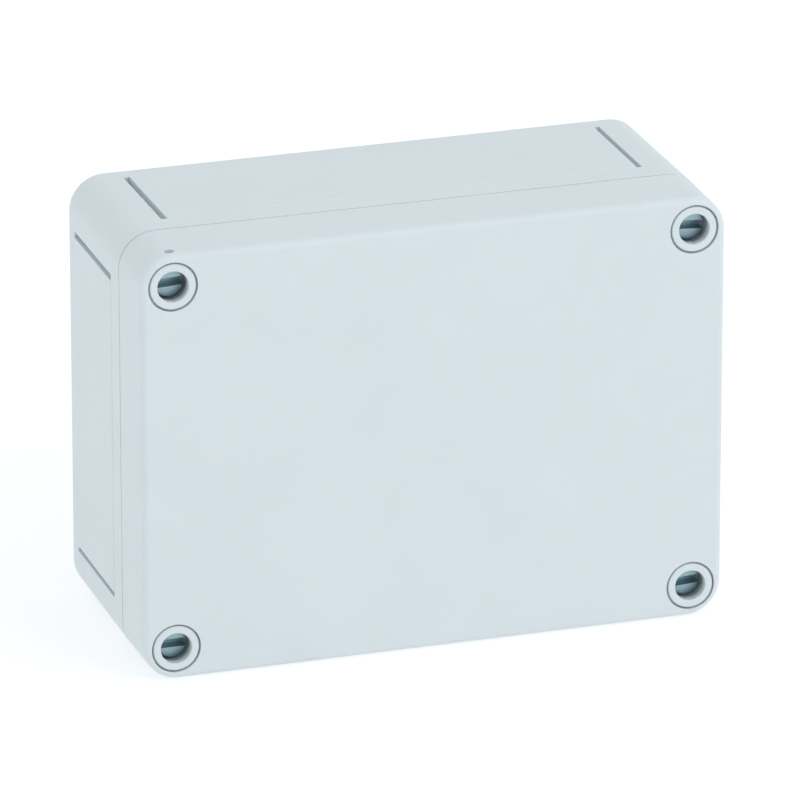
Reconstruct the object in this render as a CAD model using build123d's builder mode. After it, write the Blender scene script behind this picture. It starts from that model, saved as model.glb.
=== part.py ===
from build123d import *

import os

# A sealed wall case for electronics, in millimetres. It stands upright: X is its width, Z its
# height, and the lid faces -Y. The origin is the middle of the case's footprint.

# Outer form
width = 130.0
height = 96.0
depth = 55.0
corner_radius = 8.0
lid_depth = 15.7
lid_draft = 0.5
lid_edge_radius = 1.6
base_draft = 0.5
back_edge_chamfer = 0.6
rim_edge_chamfer = 0.1

# The seam: lid and base meet in one outline, which stands in a little from the panel fields
seam_gap = 0.5
seam_inset = 0.1

# Walls
lid_plate = 3.0
base_wall = 3.5
base_floor = 3.0
inner_corner_radius = 1.5

# The seal: a collar on the base reaches into a channel in the lid and meets the gasket there
gasket_thickness = 2.0
gasket_side_play = 0.05
collar_thickness = 1.4
channel_clearance = 0.25
channel_rib_thickness = 1.4
channel_rib_length = 6.0

# Panel fields on the four side walls, each with a deep slot at both ends
panel_end_margin = 12.65
panel_front_margin = 5.9
panel_back_margin = 4.6
panel_rise = 0.15
panel_edge_chamfer = 0.12
slot_width = 1.3
slot_depth = 1.6

# Corner screws: how far their axes stand in from the outer faces, and what surrounds them
screw_margin = 7.3
sleeve_hole_diameter = 10.9
sleeve_floor = 1.2
sleeve_fit_clearance = 0.02
ring_gap = 0.45
ring_gap_depth = 1.2
sleeve_bore_diameter = 6.8
sleeve_lip_depth = 1.7
sleeve_undercut = 0.8
sleeve_edge_chamfer = 0.2
tower_wall = 1.4
tower_bore_diameter = 8.4
stop_pad_margin = 0.85
pilot_clearance = 0.1
pilot_tip_room = 1.3
pilot_floor = 3.5
back_core_diameter = 8.0

head_clearance = 0.15
head_height = 3.4
head_sink = 3.4
head_edge_chamfer = 0.2
driver_slot_width = 1.9
driver_slot_depth = 2.5
thread_diameter = 4.0
thread_clearance = 0.2
thread_depth_in_pillar = 6.2
thread_ahead_of_washer = 0.7
neck_undercut_depth = 0.5
tip_length = 1.0
tip_diameter = 1.8

washer_side_clearance = 0.3
washer_thickness = 1.0
washer_hole_clearance = 0.05
washer_lift = 0.2

# A hole through the top of the lid into the top left screw recess, for a seal wire
seal_hole_corner = "top_left"
seal_hole_diameter = 2.2
seal_hole_depth_in = 2.8

# Wall fixing holes in the base, each closed from inside by a plug
fixing_margin_x = 23.0
fixing_margin_z = 11.0
fixing_hole_diameter = 4.5
fixing_shelf = 4.0
fixing_mouth_diameter = 9.0
fixing_boss_wall = 1.7
fixing_boss_height = 6.0
fixing_pad_diameter = 13.0

plug_fit_clearance = 0.02
plug_flange_overlap = 0.9
plug_flange_thickness = 0.8
plug_depth = 2.4
plug_wall = 1.1
plug_edge_chamfer = 0.3

# Posts for a circuit board or a mounting plate
post_margin_x = 15.0
post_margin_z = 24.0
post_diameter = 7.0
post_height = 7.0
post_hole_diameter = 2.9
post_hole_depth = 6.0

# The back face: a shallow field that leaves a flat rim and flat pads to rest on the wall
back_field_depth = 0.6
back_field_margin = 2.0

# Two places nearer than this count as one when an edge or a corner is picked
same_place = 0.01

# Each corner: which way it lies along X and Z, and how far its screw slot is turned
corners = {
    "top_left": (-1, 1, 3.0),
    "top_right": (1, 1, -4.0),
    "bottom_left": (-1, -1, 0.0),
    "bottom_right": (1, -1, 3.5),
}

# What follows from those sizes
front = -depth / 2
base_rim = lid_depth + seam_gap
base_depth = depth - base_rim
seam_width = width - 2 * seam_inset
seam_height = height - 2 * seam_inset
seam_corner_radius = corner_radius - seam_inset
floor_level = depth - base_floor
collar_top = lid_plate + gasket_thickness
panel_front = base_rim + panel_front_margin
panel_depth = depth - panel_back_margin - panel_front

screw_pitch_x = width - 2 * screw_margin
screw_pitch_z = height - 2 * screw_margin
sleeve_hole_radius = sleeve_hole_diameter / 2
tower_radius = sleeve_hole_radius + tower_wall
pillar_radius = tower_radius + channel_clearance + collar_thickness
pilot_depth = thread_depth_in_pillar + pilot_tip_room
back_core_end = lid_depth + pilot_depth + pilot_floor
head_diameter = sleeve_bore_diameter - 2 * head_clearance
head_seat = head_sink + head_height
sleeve_length = head_seat + sleeve_floor
screw_tip = lid_depth + thread_depth_in_pillar
washer_diameter = tower_bore_diameter - 2 * washer_side_clearance
washer_back = lid_depth - washer_lift
washer_front = washer_back - washer_thickness
thread_start = washer_front - thread_ahead_of_washer
neck_diameter = thread_diameter - 2 * neck_undercut_depth

fixing_pitch_x = width - 2 * fixing_margin_x
fixing_pitch_z = height - 2 * fixing_margin_z
fixing_boss_diameter = fixing_mouth_diameter + 2 * fixing_boss_wall
fixing_boss_top = floor_level - fixing_boss_height
fixing_seat = depth - fixing_shelf
plug_flange_diameter = fixing_mouth_diameter + 2 * plug_flange_overlap
post_pitch_x = width - 2 * post_margin_x
post_pitch_z = height - 2 * post_margin_z
post_top = floor_level - post_height


def layer(level):
    """The plane parallel to the lid's face that lies `level` behind it, looking forwards."""
    return Plane(origin=(0, front + level, height / 2), x_dir=(1, 0, 0), z_dir=(0, -1, 0))


def round_plane(x, z):
    """The plane through the axis at x, z on which a turned piece's radius and level are drawn."""
    return Plane(origin=(x, front, z), x_dir=(1, 0, 0), z_dir=(0, 0, 1))


def turning_axis(x, z):
    return Axis((x, front, z), (0, 1, 0))


def case_outline(grow):
    """The outer outline of lid and base at the seam, moved outwards by `grow`."""
    return RectangleRounded(
        seam_width + 2 * grow, seam_height + 2 * grow, seam_corner_radius + grow
    )


def save(piece, name):
    piece.part.label = name
    export_step(piece.part, f"parts/{name}.step")


os.makedirs("parts", exist_ok=True)

# The line of the seal: the inside of the walls, and round the corner pillars
half_inside_x = width / 2 - base_wall
half_inside_z = height / 2 - base_wall
pillar_reach = screw_margin + pillar_radius
with BuildSketch() as seal_line:
    Rectangle(2 * half_inside_x, 2 * half_inside_z)
    with GridLocations(width - screw_margin, height - pillar_reach, 2, 2):
        Rectangle(screw_margin, pillar_reach, mode=Mode.SUBTRACT)
    with GridLocations(width - pillar_reach, height - screw_margin, 2, 2):
        Rectangle(pillar_reach, screw_margin, mode=Mode.SUBTRACT)
    with GridLocations(screw_pitch_x, screw_pitch_z, 2, 2):
        Circle(pillar_radius, mode=Mode.SUBTRACT)
    beside_pillars = seal_line.vertices().filter_by(
        lambda v: half_inside_x - abs(v.X) < same_place or half_inside_z - abs(v.Y) < same_place
    )
    fillet(beside_pillars, inner_corner_radius)

# The raised fields on the side walls
with BuildPart() as panel_fields:
    with BuildSketch(layer(base_rim)):
        case_outline(panel_rise)
    extrude(amount=-base_depth, taper=base_draft)
    with BuildSketch(layer(panel_front)):
        Rectangle(width - 2 * panel_end_margin, 2 * height)
        Rectangle(2 * width, height - 2 * panel_end_margin)
    extrude(amount=-panel_depth, mode=Mode.INTERSECT)
    panel_ends = panel_fields.faces().filter_by(Axis.Y)
    chamfer(panel_ends.edges(), panel_edge_chamfer)

# The slots that close the fields at both ends, as deep behind the drafted wall all along
with BuildPart() as end_slots:
    with BuildSketch(layer(panel_front)):
        with GridLocations(width - 2 * panel_end_margin + slot_width, 0, 2, 1):
            Rectangle(slot_width, 2 * height)
        with GridLocations(0, height - 2 * panel_end_margin + slot_width, 1, 2):
            Rectangle(2 * width, slot_width)
    extrude(amount=-panel_depth)
    with BuildSketch(layer(base_rim)):
        case_outline(-slot_depth)
    extrude(amount=-base_depth, taper=base_draft, mode=Mode.SUBTRACT)

with BuildPart() as base:
    with BuildSketch(layer(base_rim)):
        case_outline(0)
    extrude(amount=-base_depth, taper=base_draft)
    chamfer(base.faces().sort_by(Axis.Y)[-1].edges(), back_edge_chamfer)
    chamfer(base.faces().sort_by(Axis.Y)[0].edges(), rim_edge_chamfer)
    add(panel_fields.part)
    add(end_slots.part, mode=Mode.SUBTRACT)
    # Collar
    with BuildSketch(layer(collar_top)):
        offset(seal_line.sketch, collar_thickness)
    extrude(amount=collar_top - base_rim - rim_edge_chamfer)
    # Stop pads that carry the lid on the corner pillars
    with BuildSketch(layer(lid_depth)):
        with GridLocations(screw_pitch_x, screw_pitch_z, 2, 2):
            Circle(tower_radius - stop_pad_margin)
    extrude(amount=-seam_gap - rim_edge_chamfer)
    # Inside
    with BuildSketch(layer(collar_top)):
        add(seal_line.sketch)
    extrude(amount=collar_top - floor_level, mode=Mode.SUBTRACT)
    # Pilot holes for the cover screws, and cores that thin the pillars from behind
    with BuildSketch(layer(lid_depth)):
        with GridLocations(screw_pitch_x, screw_pitch_z, 2, 2):
            Circle(thread_diameter / 2 + pilot_clearance)
    extrude(amount=-pilot_depth, mode=Mode.SUBTRACT)
    with BuildSketch(layer(depth)):
        with GridLocations(screw_pitch_x, screw_pitch_z, 2, 2):
            Circle(back_core_diameter / 2)
    extrude(amount=depth - back_core_end, mode=Mode.SUBTRACT)
    # Fixing bosses and board posts on the floor
    with BuildSketch(layer(floor_level)):
        with GridLocations(fixing_pitch_x, fixing_pitch_z, 2, 2):
            Circle(fixing_boss_diameter / 2)
    extrude(amount=fixing_boss_height)
    with BuildSketch(layer(floor_level)):
        with GridLocations(post_pitch_x, post_pitch_z, 2, 2):
            Circle(post_diameter / 2)
    extrude(amount=post_height)
    with BuildSketch(layer(post_top)):
        with GridLocations(post_pitch_x, post_pitch_z, 2, 2):
            Circle(post_hole_diameter / 2)
    extrude(amount=-post_hole_depth, mode=Mode.SUBTRACT)
    with BuildSketch(layer(fixing_boss_top)):
        with GridLocations(fixing_pitch_x, fixing_pitch_z, 2, 2):
            Circle(fixing_mouth_diameter / 2)
    extrude(amount=fixing_boss_top - fixing_seat, mode=Mode.SUBTRACT)
    with BuildSketch(layer(fixing_seat)):
        with GridLocations(fixing_pitch_x, fixing_pitch_z, 2, 2):
            Circle(fixing_hole_diameter / 2)
    extrude(amount=-fixing_shelf, mode=Mode.SUBTRACT)
    # Back field
    with BuildSketch(layer(depth)):
        offset(seal_line.sketch, -back_field_margin)
        with GridLocations(fixing_pitch_x, fixing_pitch_z, 2, 2):
            Circle(fixing_pad_diameter / 2, mode=Mode.SUBTRACT)
    extrude(amount=back_field_depth, mode=Mode.SUBTRACT)
save(base, "base")

with BuildPart() as lid:
    with BuildSketch(layer(lid_depth)):
        case_outline(0)
    extrude(amount=lid_depth, taper=lid_draft)
    fillet(lid.faces().sort_by(Axis.Y)[0].edges(), lid_edge_radius)
    chamfer(lid.faces().sort_by(Axis.Y)[-1].edges(), rim_edge_chamfer)
    # Hollow out to the channel's outer wall, then stand the channel's inner rib on the plate
    with BuildSketch(layer(lid_plate)):
        offset(seal_line.sketch, collar_thickness + channel_clearance)
    extrude(amount=lid_plate - lid_depth, mode=Mode.SUBTRACT)
    with BuildSketch(layer(lid_plate)):
        offset(seal_line.sketch, -channel_clearance)
        offset(
            seal_line.sketch, -channel_clearance - channel_rib_thickness, mode=Mode.SUBTRACT
        )
    extrude(amount=-channel_rib_length)
    # Corner towers: a hole for the sleeve, and behind it a bore for the captive washer
    with BuildSketch(layer(0)):
        with GridLocations(screw_pitch_x, screw_pitch_z, 2, 2):
            Circle(sleeve_hole_radius)
    extrude(amount=-sleeve_length, mode=Mode.SUBTRACT)
    with BuildSketch(layer(sleeve_length)):
        with GridLocations(screw_pitch_x, screw_pitch_z, 2, 2):
            Circle(tower_bore_diameter / 2)
    extrude(amount=sleeve_length - lid_depth, mode=Mode.SUBTRACT)
    # Seal wire hole
    with BuildSketch(Plane.XY.offset(height)):
        with Locations((-screw_pitch_x / 2, front + seal_hole_depth_in)):
            Circle(seal_hole_diameter / 2)
    extrude(amount=-screw_margin, mode=Mode.SUBTRACT)
save(lid, "lid")

with BuildPart() as gasket:
    with BuildSketch(layer(lid_plate)):
        offset(seal_line.sketch, collar_thickness + channel_clearance - gasket_side_play)
        offset(seal_line.sketch, gasket_side_play - channel_clearance, mode=Mode.SUBTRACT)
    extrude(amount=-gasket_thickness)
save(gasket, "gasket")


def make_sleeve(x, z, has_seal_hole):
    """The bush in the lid's corner: a ring flush with the lid, and a floor that the head sits on."""
    bore = sleeve_bore_diameter / 2
    recess = bore + sleeve_undercut
    ring = sleeve_hole_radius - ring_gap
    seat = sleeve_hole_radius - sleeve_fit_clearance
    shank_hole = thread_diameter / 2 + thread_clearance
    with BuildPart() as sleeve:
        with BuildSketch(round_plane(x, z)):
            with BuildLine():
                Polyline(
                    (bore, 0),
                    (ring, 0),
                    (ring, ring_gap_depth),
                    (seat, ring_gap_depth),
                    (seat, sleeve_length),
                    (shank_hole, sleeve_length),
                    (shank_hole, head_seat),
                    (recess, head_seat),
                    (recess, sleeve_lip_depth),
                    (bore, sleeve_lip_depth),
                    close=True,
                )
            make_face()
        revolve(axis=turning_axis(x, z))
        chamfer(sleeve.faces().sort_by(Axis.Y)[0].edges(), sleeve_edge_chamfer)
        if has_seal_hole:
            with BuildSketch(Plane(origin=(x, front + seal_hole_depth_in, z))):
                Circle(seal_hole_diameter / 2)
            extrude(amount=sleeve_hole_radius, mode=Mode.SUBTRACT)
    return sleeve


def make_screw(x, z, slot_angle):
    """A slotted cover screw: its thread cuts its own way in the pillar, and its neck is thinner."""
    with BuildPart() as screw:
        with BuildSketch(round_plane(x, z)):
            with BuildLine():
                Polyline(
                    (0, head_sink),
                    (head_diameter / 2 - head_edge_chamfer, head_sink),
                    (head_diameter / 2, head_sink + head_edge_chamfer),
                    (head_diameter / 2, head_seat),
                    (neck_diameter / 2, head_seat),
                    (neck_diameter / 2, thread_start),
                    (thread_diameter / 2, thread_start),
                    (thread_diameter / 2, screw_tip - tip_length),
                    (tip_diameter / 2, screw_tip),
                    (0, screw_tip),
                    close=True,
                )
            make_face()
        revolve(axis=turning_axis(x, z))
        slot_plane = Plane(
            origin=(x, front + head_sink, z), x_dir=(1, 0, 0), z_dir=(0, -1, 0)
        )
        with BuildSketch(slot_plane.rotated((0, 0, slot_angle))):
            Rectangle(2 * head_diameter, driver_slot_width)
        extrude(amount=-driver_slot_depth, mode=Mode.SUBTRACT)
    return screw


def make_washer(x, z):
    """The captive washer, a nylon ring that grips the thread behind the sleeve."""
    hole = thread_diameter / 2 + washer_hole_clearance
    rim = washer_diameter / 2
    with BuildPart() as washer:
        with BuildSketch(round_plane(x, z)):
            with BuildLine():
                Polyline(
                    (hole, washer_front),
                    (rim, washer_front),
                    (rim, washer_back),
                    (hole, washer_back),
                    close=True,
                )
            make_face()
        revolve(axis=turning_axis(x, z))
    return washer


def make_plug(x, z):
    """The cap that closes a fixing hole from inside: a flange, and a hollow skirt in the mouth."""
    skirt = fixing_mouth_diameter / 2 - plug_fit_clearance
    with BuildPart() as plug:
        with BuildSketch(round_plane(x, z)):
            with BuildLine():
                Polyline(
                    (0, fixing_boss_top - plug_flange_thickness),
                    (plug_flange_diameter / 2, fixing_boss_top - plug_flange_thickness),
                    (plug_flange_diameter / 2, fixing_boss_top),
                    (skirt, fixing_boss_top),
                    (skirt, fixing_boss_top + plug_depth),
                    (skirt - plug_wall, fixing_boss_top + plug_depth),
                    (skirt - plug_wall, fixing_boss_top),
                    (0, fixing_boss_top),
                    close=True,
                )
            make_face()
        revolve(axis=turning_axis(x, z))
        chamfer(plug.faces().sort_by(Axis.Y)[0].edges(), plug_edge_chamfer)
    return plug


for corner, (side_x, side_z, slot_angle) in corners.items():
    screw_x = side_x * screw_pitch_x / 2
    screw_z = height / 2 + side_z * screw_pitch_z / 2
    sleeve = make_sleeve(screw_x, screw_z, corner == seal_hole_corner)
    save(sleeve, f"screw_sleeve_{corner}")
    save(make_screw(screw_x, screw_z, slot_angle), f"cover_screw_{corner}")
    save(make_washer(screw_x, screw_z), f"retaining_washer_{corner}")
    plug_x = side_x * fixing_pitch_x / 2
    plug_z = height / 2 + side_z * fixing_pitch_z / 2
    save(make_plug(plug_x, plug_z), f"fixing_plug_{corner}")
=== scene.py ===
import math
import bmesh
import bpy
from mathutils import Matrix, Vector


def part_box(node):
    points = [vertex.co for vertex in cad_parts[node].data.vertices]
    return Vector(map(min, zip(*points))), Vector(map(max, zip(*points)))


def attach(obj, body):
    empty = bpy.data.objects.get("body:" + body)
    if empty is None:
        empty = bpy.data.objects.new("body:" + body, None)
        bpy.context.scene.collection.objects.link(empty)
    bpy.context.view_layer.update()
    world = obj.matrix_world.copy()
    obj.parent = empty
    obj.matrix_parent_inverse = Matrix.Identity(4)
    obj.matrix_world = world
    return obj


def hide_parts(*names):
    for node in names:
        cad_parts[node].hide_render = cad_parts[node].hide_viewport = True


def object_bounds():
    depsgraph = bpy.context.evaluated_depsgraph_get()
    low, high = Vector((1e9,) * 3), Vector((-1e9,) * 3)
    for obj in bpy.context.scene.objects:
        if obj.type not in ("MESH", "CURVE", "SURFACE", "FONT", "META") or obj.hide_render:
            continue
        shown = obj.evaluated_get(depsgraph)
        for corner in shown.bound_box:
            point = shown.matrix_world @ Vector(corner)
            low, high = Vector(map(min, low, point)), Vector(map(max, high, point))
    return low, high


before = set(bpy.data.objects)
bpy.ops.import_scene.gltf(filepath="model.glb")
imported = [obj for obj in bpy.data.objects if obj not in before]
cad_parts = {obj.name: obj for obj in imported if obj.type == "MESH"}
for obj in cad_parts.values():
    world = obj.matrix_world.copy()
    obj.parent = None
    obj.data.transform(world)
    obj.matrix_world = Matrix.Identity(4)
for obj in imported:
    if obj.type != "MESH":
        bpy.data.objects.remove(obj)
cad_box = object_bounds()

# A sealed plastic case, closed. Lengths are in metres. X is its width, Z its height, and the lid
# faces -Y.
MM = 0.001
CORNERS = ("top_left", "top_right", "bottom_left", "bottom_right")

# Camera: where it stands, seen from the middle of the case, and how much it sees
CAMERA_AZIMUTH = math.radians(18.0)
CAMERA_ELEVATION = math.radians(20.8)
CAMERA_DISTANCE = 2.0
CAMERA_LENS = 419.7
CAMERA_SENSOR = 36.0
CAMERA_NEAR = 0.1
CAMERA_FAR = 100.0
AIM_RIGHT = 0.9 * MM
AIM_DOWN = 1.07 * MM

# Studio: a pale table that glows a little, an even tent, and soft panels that face the case
FLOOR_SIZE = 30.0
FLOOR_GLOW = 0.642
FLOOR_GLOW_COLOUR = (0.97, 0.99, 1.0, 1)
TENT_STRENGTH = 0.87
TENT_COLOUR = (0.96, 0.985, 1.0, 1)
LIT_POINT = (0.0, 0.0, 0.048)
# Each panel's place, its width and height, and its power in watts
PANELS = {
    "panel_right": ((1.0, -1.4, 1.4), (1.4, 1.2), 11.4),
    "panel_above": ((0.8, -0.3, 1.7), (1.6, 1.6), 2.0),
    "panel_left": ((-1.75, -0.2, 0.25), (1.2, 1.0), 2.0),
}

# Edges: how far those of each kind of piece are rounded over, at most. A mesh's shortest edges
# clamp it: the base comes out at about 0.015 mm, the lid at next to nothing.
SHELL_EDGE = 0.12 * MM
GASKET_EDGE = 0.3 * MM
PLUG_EDGE = 0.08 * MM
WASHER_EDGE = 0.06 * MM
SLEEVE_EDGE = 0.05 * MM
EDGE_SEGMENTS = 2
EDGE_PROFILE = 0.6

# Meshes: what counts as a sharp edge, a flat face and one point
SHARP_ANGLE = math.radians(28)
FLAT_ANGLE = math.radians(0.2)
SAME_POINT = 0.002 * MM
SCREW_SAME_POINT = SAME_POINT / 4
FACE_AREA_WEIGHT = 100

# Case: the play of a sleeve in its hole, how finely the hole's rim is cut, and how near the seam an
# edge stays crisp
SLEEVE_CLEARANCE = 0.02 * MM
HOLE_CUTS = 2
CRISP_REACH = 0.4 * MM

# The cover screw, from the head's top face downwards
SCREW_SEGMENTS = 72
HEAD_RADIUS = 3.25 * MM
HEAD_HEIGHT = 3.4 * MM
HEAD_CHAMFER = 0.2 * MM
SLOT_WIDTH = 1.9 * MM
SLOT_DEPTH = 2.5 * MM
SLOT_ANGLES = {"top_left": 3.0, "top_right": -4.0, "bottom_left": 0.0, "bottom_right": 3.5}
NECK_RADIUS = 1.5 * MM
THREAD_RADIUS = 2.0 * MM
THREAD_LENGTH = 8.1 * MM
THREAD_PITCH = 1.8 * MM
# Where the thread's form changes along one pitch, as a share of it, and how high it stands there
THREAD_FORM = ((0.0, 1.0), (0.05, 1.0), (0.15, 0.0), (0.4, 0.0), (0.65, 0.0), (0.9, 0.0))
# The share of a pitch over which the thread rises out of the neck
THREAD_RUN_IN = 0.6
TIP_LENGTH = 1.0 * MM
TIP_RADIUS = 0.9 * MM


def material(name):
    """A new node material, with its shader."""
    made = bpy.data.materials.new(name)
    made.use_nodes = True
    return made, made.node_tree.nodes["Principled BSDF"]


def add_node(made, kind, values=None, **settings):
    """A new node, with the values of its inputs and its own settings."""
    node = made.node_tree.nodes.new(kind)
    for key, value in settings.items():
        setattr(node, key, value)
    for key, value in (values or {}).items():
        node.inputs[key].default_value = value
    return node


def link(made, source, output, target, entry):
    """Joins one node's output to another's input."""
    made.node_tree.links.new(source.outputs[output], target.inputs[entry])


def grain(made, scale, detail=3.0):
    """Noise laid through the piece, `scale` bumps to the metre."""
    place = add_node(made, "ShaderNodeTexCoord")
    noise = add_node(
        made, "ShaderNodeTexNoise", {"Scale": scale, "Detail": detail, "Roughness": 0.55}
    )
    link(made, place, "Object", noise, "Vector")
    return noise


def spread(made, source, output, entry, low, high):
    """A shader value that runs from low to high with the noise."""
    mapped = add_node(
        made,
        "ShaderNodeMapRange",
        {"From Min": 0.3, "From Max": 0.7, "To Min": low, "To Max": high},
    )
    link(made, source, "Fac", mapped, "Value")
    link(made, mapped, "Result", output, entry)


def tint(made, source, shader, low, high):
    """A base colour that drifts between two close ones."""
    ramp = add_node(made, "ShaderNodeValToRGB")
    ramp.color_ramp.elements[0].position = 0.35
    ramp.color_ramp.elements[0].color = (*low, 1)
    ramp.color_ramp.elements[1].position = 0.65
    ramp.color_ramp.elements[1].color = (*high, 1)
    link(made, source, "Fac", ramp, "Fac")
    link(made, ramp, "Color", shader, "Base Color")


def relief(made, source, shader, strength, height):
    """A surface that rises and falls by up to `height` with the texture."""
    bump = add_node(made, "ShaderNodeBump", {"Strength": strength, "Distance": height})
    link(made, source, "Fac", bump, "Height")
    link(made, bump, "Normal", shader, "Normal")


def case_plastic():
    """Light cool grey moulded plastic: satin, faintly translucent, grained by an eroded mould."""
    made, shader = material("case_plastic")
    shader.inputs["IOR"].default_value = 1.5
    shader.inputs["Subsurface Weight"].default_value = 0.3
    shader.inputs["Subsurface Radius"].default_value = (0.5, 0.8, 1.0)
    shader.inputs["Subsurface Scale"].default_value = 1.0 * MM
    tint(made, grain(made, 60.0), shader, low=(0.610, 0.670, 0.694), high=(0.622, 0.682, 0.706))
    spread(made, grain(made, 900.0), shader, "Roughness", low=0.50, high=0.58)
    relief(made, grain(made, 4200.0, detail=4.0), shader, strength=0.25, height=0.01 * MM)
    return made


def screw_steel():
    """Zinc plated steel, with the rings that turning leaves."""
    made, shader = material("screw_steel")
    shader.inputs["Metallic"].default_value = 1.0
    tint(made, grain(made, 400.0), shader, low=(0.31, 0.43, 0.475), high=(0.33, 0.455, 0.50))
    spread(made, grain(made, 1800.0), shader, "Roughness", low=0.34, high=0.40)
    place = add_node(made, "ShaderNodeTexCoord")
    rings = add_node(
        made,
        "ShaderNodeTexWave",
        {"Scale": 1100.0, "Distortion": 1.5, "Detail": 2.0},
        wave_type="RINGS",
        rings_direction="Y",
    )
    link(made, place, "Object", rings, "Vector")
    relief(made, rings, shader, strength=0.10, height=0.003 * MM)
    return made


def gasket_rubber():
    """Black foamed rubber with a fine open grain."""
    made, shader = material("gasket_rubber")
    tint(made, grain(made, 500.0), shader, low=(0.016, 0.016, 0.017), high=(0.028, 0.028, 0.030))
    spread(made, grain(made, 1500.0), shader, "Roughness", low=0.62, high=0.80)
    relief(made, grain(made, 3000.0, detail=5.0), shader, strength=0.5, height=0.03 * MM)
    return made


def washer_nylon():
    """Natural nylon, a little translucent."""
    made, shader = material("washer_nylon")
    shader.inputs["Subsurface Weight"].default_value = 0.25
    shader.inputs["Subsurface Scale"].default_value = 1.0 * MM
    tint(made, grain(made, 300.0), shader, low=(0.74, 0.73, 0.66), high=(0.80, 0.79, 0.72))
    spread(made, grain(made, 1200.0), shader, "Roughness", low=0.35, high=0.48)
    relief(made, grain(made, 3000.0), shader, strength=0.2, height=0.01 * MM)
    return made


MATERIALS = {
    "case_plastic": case_plastic(),
    "screw_steel": screw_steel(),
    "gasket_rubber": gasket_rubber(),
    "washer_nylon": washer_nylon(),
}


def finish_as(piece, slot):
    """Gives a piece the material made for `slot`."""
    piece.data.materials.clear()
    piece.data.materials.append(MATERIALS[slot])


def shade(piece):
    """Smooth over curves, crisp at edges, and flat where a face is flat."""
    piece.data.shade_smooth()
    piece.data.set_sharp_from_angle(angle=SHARP_ANGLE)
    weighted = piece.modifiers.new("normals", "WEIGHTED_NORMAL")
    weighted.keep_sharp = True
    weighted.weight = FACE_AREA_WEIGHT


def bevel_edges(mesh, width, crisp_at):
    """Rounds the sharp edges of a bmesh, apart from those near the level `crisp_at` along Y."""
    sharp = [
        edge
        for edge in mesh.edges
        if edge.is_manifold
        and edge.calc_face_angle(0.0) > SHARP_ANGLE
        and (crisp_at is None or abs(edge.verts[0].co.y - crisp_at) > CRISP_REACH)
    ]
    bmesh.ops.bevel(
        mesh,
        geom=sharp,
        offset=width,
        offset_type="OFFSET",
        segments=EDGE_SEGMENTS,
        profile=EDGE_PROFILE,
        affect="EDGES",
        clamp_overlap=True,
    )


def screw_place(corner):
    """The middle of a cover screw's head, on its top face."""
    low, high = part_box(f"cover_screw_{corner}")
    return Vector(((low.x + high.x) / 2, low.y, (low.z + high.z) / 2))


def round_off(mesh, centre, radius):
    """Cuts the sides of a hole's rim, a polygon round the centre, and moves the cuts out.

    The hole's axis is along Y, and `radius` is that of the circle that the rim stands for.
    """

    def reach(vertex):
        return math.hypot(vertex.co.x - centre.x, vertex.co.z - centre.z)

    sides = [
        edge
        for edge in mesh.edges
        if all(abs(reach(v) - radius) < SAME_POINT for v in edge.verts)
        and abs(edge.verts[0].co.y - edge.verts[1].co.y) < SAME_POINT
    ]
    cut = bmesh.ops.subdivide_edges(mesh, edges=sides, cuts=HOLE_CUTS)
    for vertex in cut["geom_inner"]:
        if isinstance(vertex, bmesh.types.BMVert):
            out = radius / reach(vertex)
            vertex.co.x = centre.x + (vertex.co.x - centre.x) * out
            vertex.co.z = centre.z + (vertex.co.z - centre.z) * out


def moulded(node, body, slot="case_plastic", width=SHELL_EDGE, holes=(), crisp_at=None):
    """A piece in place of its CAD node: the same shape, with its edges rounded over by `width`.

    Edges near the level `crisp_at` along Y stay as they are.
    """
    mesh = bmesh.new()
    mesh.from_mesh(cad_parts[node].data)
    bmesh.ops.remove_doubles(mesh, verts=mesh.verts, dist=SAME_POINT)
    bmesh.ops.dissolve_limit(
        mesh, angle_limit=FLAT_ANGLE, verts=mesh.verts, edges=mesh.edges, delimit={"NORMAL"}
    )
    for centre, radius in holes:
        round_off(mesh, centre, radius)
    bevel_edges(mesh, width, crisp_at)
    data = bpy.data.meshes.new(f"{node}_moulded")
    mesh.to_mesh(data)
    mesh.free()
    piece = bpy.data.objects.new(f"{node}_moulded", data)
    bpy.context.scene.collection.objects.link(piece)
    finish_as(piece, slot)
    shade(piece)
    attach(piece, body)
    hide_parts(node)


def thread_rows(start, end):
    """The threaded shank as rows of points, each (radius, level), that climb one pitch a turn.

    The rows are trimmed flat at both ends, and the thread thins out towards the screw's tip.
    """
    turns = math.ceil((end - start) / THREAD_PITCH) + 1
    rows = [(turn + share, height) for turn in range(-1, turns) for share, height in THREAD_FORM]
    points = []
    for place, height in rows:
        row = []
        for step in range(SCREW_SEGMENTS):
            y = start + (place + step / SCREW_SEGMENTS) * THREAD_PITCH
            y = min(max(y, start), end)
            run_in = min((y - start) / (THREAD_RUN_IN * THREAD_PITCH), 1.0)
            radius = NECK_RADIUS + (THREAD_RADIUS - NECK_RADIUS) * height * run_in
            to_tip = min((end - y) / TIP_LENGTH, 1.0)
            radius = min(radius, TIP_RADIUS + (THREAD_RADIUS - TIP_RADIUS) * to_tip)
            row.append((radius, y))
        points.append(row)
    return points


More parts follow.
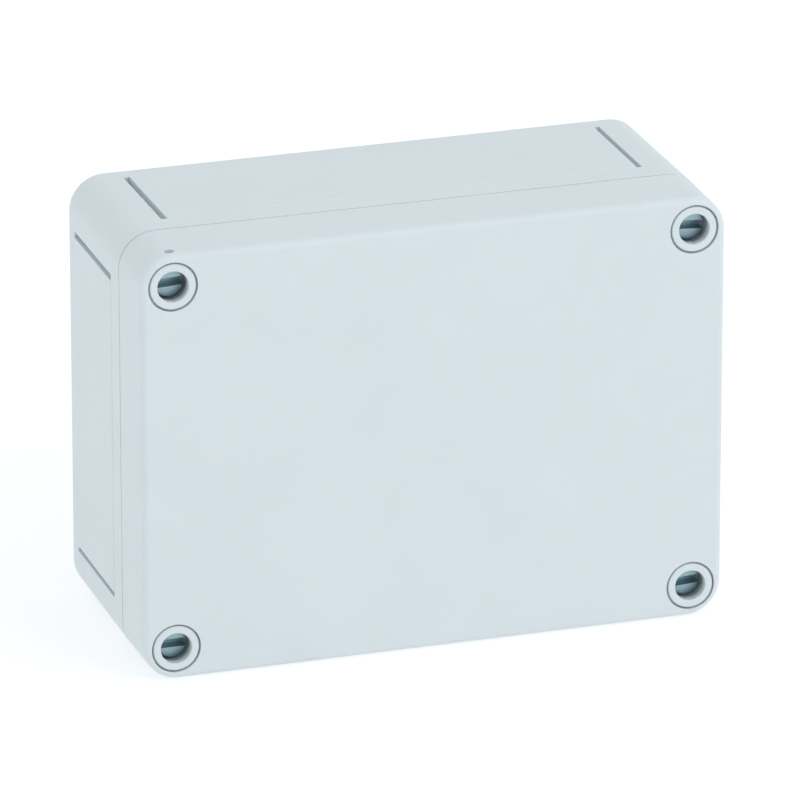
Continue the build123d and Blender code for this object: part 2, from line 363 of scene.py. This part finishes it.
def screw_mesh(length):
    """The cover screw about the Y axis, its head's top face at the origin, without its slot."""
    mesh = bmesh.new()
    thread_start = length - THREAD_LENGTH
    profile = [
        (0.0, 0.0),
        (HEAD_RADIUS - HEAD_CHAMFER, 0.0),
        (HEAD_RADIUS, HEAD_CHAMFER),
        (HEAD_RADIUS, HEAD_HEIGHT),
        (NECK_RADIUS, HEAD_HEIGHT),
        (NECK_RADIUS, thread_start),
    ]

    def spin(radius, y, step):
        angle = 2 * math.pi * step / SCREW_SEGMENTS
        return mesh.verts.new((radius * math.sin(angle), y, radius * math.cos(angle)))

    rings = [[spin(r, y, step) for step in range(SCREW_SEGMENTS)] for r, y in profile]
    for upper, lower in zip(rings, rings[1:]):
        for step in range(SCREW_SEGMENTS):
            after = (step + 1) % SCREW_SEGMENTS
            mesh.faces.new((upper[step], upper[after], lower[after], lower[step]))
    rows = [
        [spin(r, y, step) for step, (r, y) in enumerate(row)]
        for row in thread_rows(thread_start, length)
    ]
    # A row's last point joins the first point of the row that lies one pitch further on
    per_turn = len(THREAD_FORM)
    for index in range(len(rows) - 1):
        for step in range(SCREW_SEGMENTS):
            after = (step + 1) % SCREW_SEGMENTS
            climb = per_turn if after == 0 else 0
            if index + 1 + climb < len(rows):
                mesh.faces.new(
                    (
                        rows[index][step],
                        rows[index + climb][after],
                        rows[index + 1 + climb][after],
                        rows[index + 1][step],
                    )
                )
    bmesh.ops.remove_doubles(mesh, verts=mesh.verts, dist=SCREW_SAME_POINT)
    bmesh.ops.dissolve_degenerate(mesh, edges=mesh.edges, dist=SCREW_SAME_POINT)
    tip = [edge for edge in mesh.edges if edge.is_boundary]
    bmesh.ops.contextual_create(mesh, geom=tip)
    bmesh.ops.recalc_face_normals(mesh, faces=mesh.faces)
    data = bpy.data.meshes.new("cover_screw")
    mesh.to_mesh(data)
    mesh.free()
    return data


def slotted(data):
    """The screw's mesh with its driver slot cut along X."""
    blank = bpy.data.objects.new("screw_blank", data)
    cutter_mesh = bmesh.new()
    bmesh.ops.create_cube(
        cutter_mesh,
        size=1.0,
        matrix=Matrix.Diagonal((4 * HEAD_RADIUS, 2 * SLOT_DEPTH, SLOT_WIDTH, 1.0)),
    )
    cutter_data = bpy.data.meshes.new("slot_cutter")
    cutter_mesh.to_mesh(cutter_data)
    cutter_mesh.free()
    cutter = bpy.data.objects.new("slot_cutter", cutter_data)
    for temporary in (blank, cutter):
        bpy.context.scene.collection.objects.link(temporary)
    cut = blank.modifiers.new("slot", "BOOLEAN")
    cut.object = cutter
    cut.operation = "DIFFERENCE"
    cut.solver = "EXACT"
    graph = bpy.context.evaluated_depsgraph_get()
    result = bpy.data.meshes.new_from_object(blank.evaluated_get(graph))
    for temporary in (blank, cutter):
        bpy.data.objects.remove(temporary)
    mesh = bmesh.new()
    mesh.from_mesh(result)
    bmesh.ops.remove_doubles(mesh, verts=mesh.verts, dist=SCREW_SAME_POINT)
    bmesh.ops.dissolve_degenerate(mesh, edges=mesh.edges, dist=SCREW_SAME_POINT)
    mesh.to_mesh(result)
    mesh.free()
    return result


def add_screws():
    """The four cover screws, each with its own slot angle."""
    low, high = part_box("cover_screw_top_left")
    pattern = slotted(screw_mesh(high.y - low.y))
    for corner in CORNERS:
        screw = bpy.data.objects.new(f"threaded_screw_{corner}", pattern.copy())
        bpy.context.scene.collection.objects.link(screw)
        turn = Matrix.Rotation(-math.radians(SLOT_ANGLES[corner]), 4, "Y")
        screw.matrix_world = Matrix.Translation(screw_place(corner)) @ turn
        finish_as(screw, "screw_steel")
        shade(screw)
        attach(screw, f"screw_{corner}")
        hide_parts(f"cover_screw_{corner}")


def add_case():
    """The two shells, the gasket, and at each corner the sleeve, the washer and the plug."""
    low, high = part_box("screw_sleeve_top_left")
    hole_radius = (high.x - low.x) / 2 + SLEEVE_CLEARANCE
    holes = [(screw_place(corner), hole_radius) for corner in CORNERS]
    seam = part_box("lid")[1].y
    moulded("base", "base", crisp_at=seam + CRISP_REACH)
    moulded("lid", "lid", holes=holes, crisp_at=seam)
    moulded("gasket", "lid", slot="gasket_rubber", width=GASKET_EDGE)
    for corner in CORNERS:
        moulded(f"screw_sleeve_{corner}", "lid", width=SLEEVE_EDGE)
        moulded(
            f"retaining_washer_{corner}",
            f"washer_{corner}",
            slot="washer_nylon",
            width=WASHER_EDGE,
        )
        moulded(f"fixing_plug_{corner}", "base", width=PLUG_EDGE)


def add_floor():
    """The plain pale table that the case stands on."""
    bpy.ops.mesh.primitive_plane_add(size=FLOOR_SIZE, location=(0, 0, 0))
    floor = bpy.context.object
    floor.name = "floor"
    made, shader = material("pale_floor")
    shader.inputs["Roughness"].default_value = 0.9
    shader.inputs["Specular IOR Level"].default_value = 0.1
    shader.inputs["Emission Color"].default_value = FLOOR_GLOW_COLOUR
    shader.inputs["Emission Strength"].default_value = FLOOR_GLOW
    tint(made, grain(made, 3.0), shader, low=(0.40, 0.405, 0.41), high=(0.415, 0.42, 0.425))
    floor.data.materials.append(made)


def add_panel(name, place, size, power):
    """A large soft panel of light that faces the case."""
    data = bpy.data.lights.new(name, "AREA")
    data.shape = "RECTANGLE"
    data.size, data.size_y = size
    data.energy = power
    lamp = bpy.data.objects.new(name, data)
    lamp.location = place
    facing = Vector(LIT_POINT) - Vector(place)
    lamp.rotation_euler = facing.to_track_quat("-Z", "Y").to_euler()
    bpy.context.scene.collection.objects.link(lamp)


def add_lights():
    """Soft studio light: a bright even tent and the panels."""
    world = bpy.data.worlds.new("tent")
    world.use_nodes = True
    background = world.node_tree.nodes["Background"]
    background.inputs["Color"].default_value = TENT_COLOUR
    background.inputs["Strength"].default_value = TENT_STRENGTH
    bpy.context.scene.world = world
    for name, (place, size, power) in PANELS.items():
        add_panel(name, place, size, power)


def add_camera():
    """A camera at the photograph's angle, aimed a little beside the middle of the case."""
    forward = Vector(
        (
            math.sin(CAMERA_AZIMUTH) * math.cos(CAMERA_ELEVATION),
            math.cos(CAMERA_AZIMUTH) * math.cos(CAMERA_ELEVATION),
            -math.sin(CAMERA_ELEVATION),
        )
    )
    right = Vector((math.cos(CAMERA_AZIMUTH), -math.sin(CAMERA_AZIMUTH), 0))
    up = right.cross(forward)
    low, high = cad_box
    aim = (Vector(low) + Vector(high)) / 2 + AIM_RIGHT * right - AIM_DOWN * up
    data = bpy.data.cameras.new("camera")
    data.lens = CAMERA_LENS
    data.sensor_width = CAMERA_SENSOR
    data.clip_start = CAMERA_NEAR
    data.clip_end = CAMERA_FAR
    camera = bpy.data.objects.new("camera", data)
    camera.location = aim - CAMERA_DISTANCE * forward
    camera.rotation_euler = forward.to_track_quat("-Z", "Y").to_euler()
    bpy.context.scene.collection.objects.link(camera)
    bpy.context.scene.camera = camera


bpy.context.scene.view_settings.view_transform = "Standard"
add_camera()
add_case()
add_screws()
add_floor()
add_lights()
